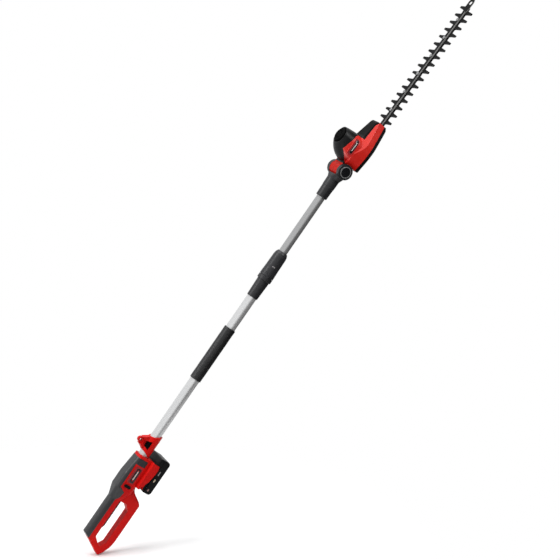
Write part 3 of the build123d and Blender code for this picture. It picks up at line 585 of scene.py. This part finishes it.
def coiled_cable_piece():
    """The spiral lead inside the tubes. The real lead stretches as the pole extends; this piece rides on no
    body and keeps its rest shape.
    """
    low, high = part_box("coiled_cable")
    coil = (high.x - low.x) / 2 - LEAD_RADIUS
    turns = int((high.z - low.z - 2 * LEAD_RADIUS) / LEAD_PITCH)
    around = [2 * math.pi * j / LEAD_SIDES for j in range(LEAD_SIDES)]
    bm = bmesh.new()
    rings = []
    for i in range(turns * LEAD_STEPS + 1):
        angle = 2 * math.pi * i / LEAD_STEPS
        radial = Vector((math.cos(angle), math.sin(angle), 0))
        middle = radial * coil + AXIS_Z * (low.z + LEAD_RADIUS + LEAD_PITCH * i / LEAD_STEPS)
        spokes = [radial * math.cos(b) + AXIS_Z * math.sin(b) for b in around]
        rings.append(ring(bm, [middle + spoke * LEAD_RADIUS for spoke in spokes]))
    for a, b in zip(rings, rings[1:]):
        bridge(bm, a, b)
    bm.faces.new(rings[0])
    bm.faces.new(rings[-1])
    obj = piece_from(bm, "spiral_lead", None, "cable_rubber", CABLE, sharp=70.0)
    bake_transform(obj)
    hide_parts("coiled_cable")


# ------------------------------------------------------------------ blades and fasteners
# the ground edge, in millimetres
BEVEL_WIDTH = 1.3
BEVEL_DEPTH = 1.0


def blade_piece(node, outward):
    """A blade with its edges ground on the outer face, in a second steel."""
    bm = bmesh.new()
    bm.from_mesh(frame["nodes"][node].data)
    bmesh.ops.remove_doubles(bm, verts=bm.verts, dist=1e-6)
    bmesh.ops.dissolve_limit(bm, angle_limit=math.radians(1.0), verts=bm.verts, edges=bm.edges)
    bm.normal_update()
    outer = [face for face in bm.faces if face.normal.dot(outward) > 0.9]
    rim = {vert for face in outer for vert in face.verts}
    grown = bmesh.ops.inset_region(bm, faces=outer, thickness=BEVEL_WIDTH * MM, depth=0.0,
                                   use_even_offset=True, use_boundary=True)
    for face in grown["faces"]:
        face.material_index = 1
    inner = {vert for face in outer for vert in face.verts}
    for vert in rim - inner:
        vert.co -= outward * BEVEL_DEPTH * MM
    bmesh.ops.triangulate(bm, faces=bm.faces)
    obj = piece_from(bm, node + "_ground", node, "blade_steel", BLADE, GROUND, sharp=15.0)
    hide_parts(node)


# a screw head from its rim inwards, as shares of its radius and height
HEAD_DOME = ((1.0, 0.45), (0.93, 0.78), (0.78, 0.96), (0.62, 1.0))
HEX_RECESS = ((0.50, 1.0), (0.48, 0.35))
SCREW_SIDES = 24
# a thread as shares of the shank's radius, and the share of the shank where its point begins
THREAD_CREST, THREAD_ROOT = 0.98, 0.84
THREAD_STEPS = 4
POINT_FROM, POINT_TAPER = 0.85, 0.7


def hexagon_share(angle):
    """Radius of a hexagon at an angle, as a share of the radius at its corners."""
    sector = math.pi / 3
    return math.cos(sector / 2) / math.cos(angle % sector - sector / 2)


def screw(bm, base, axis, head_r, head_h, shank_r, shank_l):
    """A pan-head screw, sizes in millimetres: domed head with a hex recess, and a threaded shank."""
    side = axis.orthogonal().normalized()
    front = axis.cross(side)

    def circle(radius, height, hexagon=False):
        points = []
        for i in range(SCREW_SIDES):
            angle = 2 * math.pi * i / SCREW_SIDES
            spoke = side * math.cos(angle) + front * math.sin(angle)
            share = hexagon_share(angle) if hexagon else 1.0
            points.append(base + spoke * radius * share * MM + axis * height * MM)
        return ring(bm, points)

    under = 0.02
    stack = [circle(head_r, under)]
    stack += [circle(head_r * r, head_h * h) for r, h in HEAD_DOME]
    stack += [circle(head_r * r, head_h * h, hexagon=True) for r, h in HEX_RECESS]
    for a, b in zip(stack, stack[1:]):
        bridge(bm, a, b)
    fill(bm, stack[-1])
    pitch = max(shank_r * 0.7, 0.5)
    steps = max(int(shank_l / pitch), 1) * THREAD_STEPS
    last = circle(shank_r * 0.96, under)
    bridge(bm, stack[0], last)
    for i in range(1, steps + 1):
        share = THREAD_CREST if i % THREAD_STEPS == THREAD_STEPS // 2 else THREAD_ROOT
        point = max(0.0, i / steps - POINT_FROM) / (1.0 - POINT_FROM)
        current = circle(shank_r * share * (1.0 - POINT_TAPER * point), -shank_l * i / steps)
        bridge(bm, last, current)
        last = current
    fill(bm, last)


def screws_piece(node, body, axis, head_r, head_h, shank_r, look):
    """Replaces one node of plain screws by screws with recessed heads and threads."""
    bm = bmesh.new()
    spread = Vector([abs(value) for value in axis])
    for low, high in islands(node):
        middle = (low + high) / 2
        half_length = (high - low).dot(spread) / 2 / MM
        base = middle + axis * (half_length - head_h) * MM
        screw(bm, base, axis, head_r, head_h, shank_r, 2 * half_length - head_h)
    obj = piece_from(bm, node + "_cut", body, "bright_steel", look, sharp=30.0)
    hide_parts(node)


# ------------------------------------------------------------------ moulded details
# (inset, height) steps of a pad's edge, in millimetres
RIMMED = ((0.0, -0.2), (0.05, 0.35), (0.4, 0.6), (1.3, 0.6), (1.8, 0.22))
PRINT = ((0.0, -0.1), (0.03, 0.06), (0.12, 0.12))
PRINT_HIGH = ((0.0, 0.3), (0.03, 0.62), (0.12, 0.68))
STRIP = ((0.0, 0.1), (0.05, 0.35), (0.5, 0.6))

# name, middle (x, z), size, corner radius, edge, slot, looks; lengths in millimetres
BODY_LABEL = (
    ("body_field_", (3.6, 213.5), (25, 55), 6, RIMMED, "red_plastic", (RED, MAROON)),
    ("body_strip_", (5.6, 213.0), (13, 45), 4.5, STRIP, "black_plastic", (BLACK_GLOSS,)),
    ("body_bar_", (5.9, 214.0), (3.0, 28), 1.4, PRINT_HIGH, "white_plastic", (PALE,)),
)
HEAD_LABEL = (
    ("head_field_", (-24.6, 68.5), (18, 52), 7, RIMMED, "red_plastic", (RED_BRIGHT, MAROON)),
    ("head_strip_", (-23.6, 69.5), (8.5, 41), 3.6, STRIP, "black_plastic", (BLACK_GLOSS,)),
    ("head_bar_", (-23.7, 69.5), (2.6, 28), 1.2, PRINT_HIGH, "white_plastic", (PALE,)),
)
PACK_BARS = (
    ("pack_bar_1_", (56.8, 253.5), (3.6, 13), 1.2, PRINT, "white_plastic", (GREY,)),
    ("pack_bar_2_", (56.8, 230), (3.6, 10), 1.2, PRINT, "white_plastic", (CREAM,)),
    ("pack_bar_3_", (56.8, 199), (3.6, 7), 1.2, PRINT, "white_plastic", (ROSE,)),
)
# distance from the middle plane at which the rays of a pad start, outside every shell
PAD_START = 70 * MM


def side_details():
    """Label fields on the body, head and battery, both sides, with plain bars instead of any lettering."""
    pole_frame = (Vector(), AXIS_X, AXIS_Z)
    head_frame = (HINGE, HEAD_X, HEAD_Z)
    for side, hand, shell in ((-1, "near", "left"), (1, "far", "right")):
        groups = (
            (BODY_LABEL, "handle", surface_of("handle_shell_" + shell), pole_frame),
            (HEAD_LABEL, "head", surface_of("head_shell_" + shell, "motor_cover"), head_frame),
            (PACK_BARS, "battery", surface_of("battery_cover"), pole_frame),
        )
        for pads, body, tree, (origin, right, up) in groups:
            for name, (x, z), size, corner, edge, slot, looks in pads:
                centre = origin + (right * x + up * z) * MM + AXIS_Y * side * PAD_START
                pad(name + hand, tree, centre, right * -side, up, size, corner, edge, body, slot, *looks)


# where the lock sleeve's mark sits along the pole and around it
MARK_HEIGHT = 898.5 * MM
MARK_TURN = math.radians(-112)


def sleeve_mark():
    """A plain raised bar on the lock sleeve that shows how far it is turned."""
    outward = Vector((math.cos(MARK_TURN), math.sin(MARK_TURN), 0))
    centre = outward * 40 * MM + AXIS_Z * MARK_HEIGHT
    pad("sleeve_mark", surface_of("lock_sleeve"), centre, AXIS_Z.cross(outward), AXIS_Z,
        (9, 3.4), 1.4, PRINT, "lock_sleeve", "white_plastic", GREY)


# closed (radius, height) outline over the button's face
BUTTON_RING = ((13.6, -0.3), (13.8, 0.2), (14.3, 0.5), (15.6, 0.5), (16.2, 0.2), (16.4, -0.3))


def tilt_button_ring():
    """The satin rolled ring around the face of the tilt release button; its light grey is a painted
    highlight.
    """
    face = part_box("tilt_button")[0].y
    bm = bmesh.new()
    turned(bm, Vector((HINGE.x, face, HINGE.z)), -AXIS_Y, BUTTON_RING)
    piece_from(bm, "tilt_button_ring", "tilt_button", "black_plastic", SATIN_RING_HIGHLIGHT, sharp=50.0)


soft_grip_piece()
foam_grip_piece()
coiled_cable_piece()
blade_piece("upper_blade", -HEAD_X)
blade_piece("lower_blade", HEAD_X)
screws_piece("handle_screws", "handle", AXIS_Y, 3.0, 2.0, 1.5, STEEL)
screws_piece("head_screws", "head", HEAD_X, 3.0, 1.5, 1.5, STEEL)
screws_piece("strap_screw", "handle", AXIS_X, 3.2, 2.0, 1.6, STEEL)
screws_piece("socket_screw", "upper_pole", AXIS_Y, 3.0, 1.8, 1.6, DARK_STEEL)
side_details()
sleeve_mark()
tilt_button_ring()


# ------------------------------------------------------------------ stage, light, camera
# the camera looks at a point beside the pole, from this far away
VIEW_AIM = SIDE * 0.037 + AXIS_Z * 0.880
VIEW_DISTANCE = 5.0
LENS = 117.0

# from, to, strength at from, strength at to, of the cosine towards that side
LEFT_GLOW = (-0.15, 0.75, 0.14, 0.62)
LEFT_CARD = (-0.60, -0.08, 0.03, 1.10)
REAR_GLOW = (0.35, 0.9, 0.0, 0.45)

# where the handle stands on the floor, the floor's tilt towards the camera and its fading into white
FLOOR_CONTACT = Vector((60, 0, -30)) * MM
FLOOR_TILT = math.radians(14)
FLOOR_HALF = 2.0
FADE_FROM, FADE_TO = 0.30, 0.95

LIGHT_AIM = AXIS_Z * 0.9


def area_light(name, offset, size, power):
    """A rectangular light that shines on the middle of the tool from an offset."""
    data = bpy.data.lights.new(name, "AREA")
    data.shape = "RECTANGLE"
    data.size, data.size_y = size
    data.energy = power
    obj = bpy.data.objects.new(name, data)
    obj.location = LIGHT_AIM + offset
    obj.rotation_euler = (-offset).to_track_quat("-Z", "Y").to_euler()
    bpy.context.scene.collection.objects.link(obj)
    return obj


def make_camera():
    """A long lens at the height of the pole's middle, rolled so that the tool leans across the frame."""
    data = bpy.data.cameras.new("camera")
    data.lens = LENS
    data.sensor_width = 36.0
    data.clip_end = 100.0
    cam = bpy.data.objects.new("camera", data)
    turn = Matrix((IMAGE_RIGHT, IMAGE_UP, TO_CAMERA)).transposed().to_4x4()
    cam.matrix_world = Matrix.Translation(VIEW_AIM + TO_CAMERA * VIEW_DISTANCE) @ turn
    bpy.context.scene.collection.objects.link(cam)
    bpy.context.scene.camera = cam


def make_world():
    """White behind the tool. It is lit from the camera's left, and glossy rays see a broad card there."""
    world = bpy.data.worlds.new("studio")
    bpy.context.scene.world = world
    world.use_nodes = True
    tree = world.node_tree
    seen = tree.nodes["Background"]
    seen.inputs["Color"].default_value = (1, 1, 1, 1)
    seen.inputs["Strength"].default_value = 1.0
    direction = tree.nodes.new("ShaderNodeTexCoord").outputs["Generated"]

    def along(vector, low, high, strength_low, strength_high):
        dot = tree.nodes.new("ShaderNodeVectorMath")
        dot.operation = "DOT_PRODUCT"
        dot.inputs[1].default_value = vector
        ramp = tree.nodes.new("ShaderNodeMapRange")
        ramp.interpolation_type = "SMOOTHSTEP"
        ramp.inputs["From Min"].default_value = low
        ramp.inputs["From Max"].default_value = high
        ramp.inputs["To Min"].default_value = strength_low
        ramp.inputs["To Max"].default_value = strength_high
        links(tree, (direction, dot.inputs[0]), (dot.outputs["Value"], ramp.inputs["Value"]))
        return ramp.outputs["Result"]

    glow = tree.nodes.new("ShaderNodeMath")
    glow.operation = "ADD"
    links(tree, (along(-SIDE, *LEFT_GLOW), glow.inputs[0]), (along(-TO_CAMERA, *REAR_GLOW), glow.inputs[1]))
    path = tree.nodes.new("ShaderNodeLightPath")
    card = tree.nodes.new("ShaderNodeMix")
    links(tree, (path.outputs["Is Glossy Ray"], card.inputs["Factor"]), (glow.outputs[0], card.inputs["A"]),
          (along(-SIDE, *LEFT_CARD), card.inputs["B"]))
    fill = tree.nodes.new("ShaderNodeBackground")
    fill.inputs["Color"].default_value = (0.98, 0.99, 1.0, 1)
    links(tree, (card.outputs["Result"], fill.inputs["Strength"]))
    mix = tree.nodes.new("ShaderNodeMixShader")
    links(tree, (path.outputs["Is Camera Ray"], mix.inputs[0]), (fill.outputs[0], mix.inputs[1]),
          (seen.outputs[0], mix.inputs[2]), (mix.outputs[0], tree.nodes["World Output"].inputs["Surface"]))


def make_floor():
    """A pale floor under the handle, fading into the white studio."""
    normal = (IMAGE_UP * math.cos(FLOOR_TILT) + TO_CAMERA * math.sin(FLOOR_TILT)).normalized()
    mesh = bpy.data.meshes.new("floor")
    bm = bmesh.new()
    bmesh.ops.create_grid(bm, x_segments=2, y_segments=2, size=FLOOR_HALF)
    bm.to_mesh(mesh)
    bm.free()
    floor = bpy.data.objects.new("floor", mesh)
    turn = normal.to_track_quat("Z", "Y").to_matrix().to_4x4()
    floor.matrix_world = Matrix.Translation(FLOOR_CONTACT) @ turn
    bpy.context.scene.collection.objects.link(floor)
    m = Mat("pale floor")
    m.colour((0.82, 0.82, 0.82))
    m.set(Roughness=0.8)
    m.bumps((m.noise(80.0), 0.1 * MM))
    tree = m.tree
    distance = tree.nodes.new("ShaderNodeVectorMath")
    distance.operation = "LENGTH"
    links(tree, (m.place, distance.inputs[0]))
    fade = m.spread(distance.outputs["Value"], FADE_FROM, FADE_TO, 1.0, 0.0)
    # seen from below, the floor is left out
    geometry = tree.nodes.new("ShaderNodeNewGeometry")
    front = tree.nodes.new("ShaderNodeMath")
    front.operation = "SUBTRACT"
    front.inputs[0].default_value = 1.0
    shown = tree.nodes.new("ShaderNodeMath")
    shown.operation = "MULTIPLY"
    links(tree, (geometry.outputs["Backfacing"], front.inputs[1]), (front.outputs[0], shown.inputs[0]),
          (fade, shown.inputs[1]), (shown.outputs[0], m.bsdf.inputs["Alpha"]))
    mesh.materials.append(m.mat)


def make_lights():
    """A key light from the camera's left, which leaves the tubes to the card, and three fill lights."""
    key = area_light("key", TO_CAMERA * 1.5 - SIDE * 3.0 + AXIS_Z * 0.6, (1.4, 3.0), 95)
    area_light("top", IMAGE_UP * 2.8 + TO_CAMERA * 0.6, (2.6, 1.2), 55)
    area_light("near high", AXIS_Y * -2.4 + AXIS_Z * 2.6, (1.2, 1.2), 64)
    area_light("near low", AXIS_Y * -2.4 - AXIS_Z * 2.4, (1.2, 1.2), 42)
    shaded = bpy.data.collections.new("not lit by the key")
    for node in ("lower_tube", "upper_tube"):
        shaded.objects.link(frame["nodes"][node])
    for item in shaded.collection_objects:
        item.light_linking.link_state = "EXCLUDE"
    key.light_linking.receiver_collection = shaded


make_camera()
make_world()
make_floor()
make_lights()
bpy.context.scene.view_settings.view_transform = "Standard"
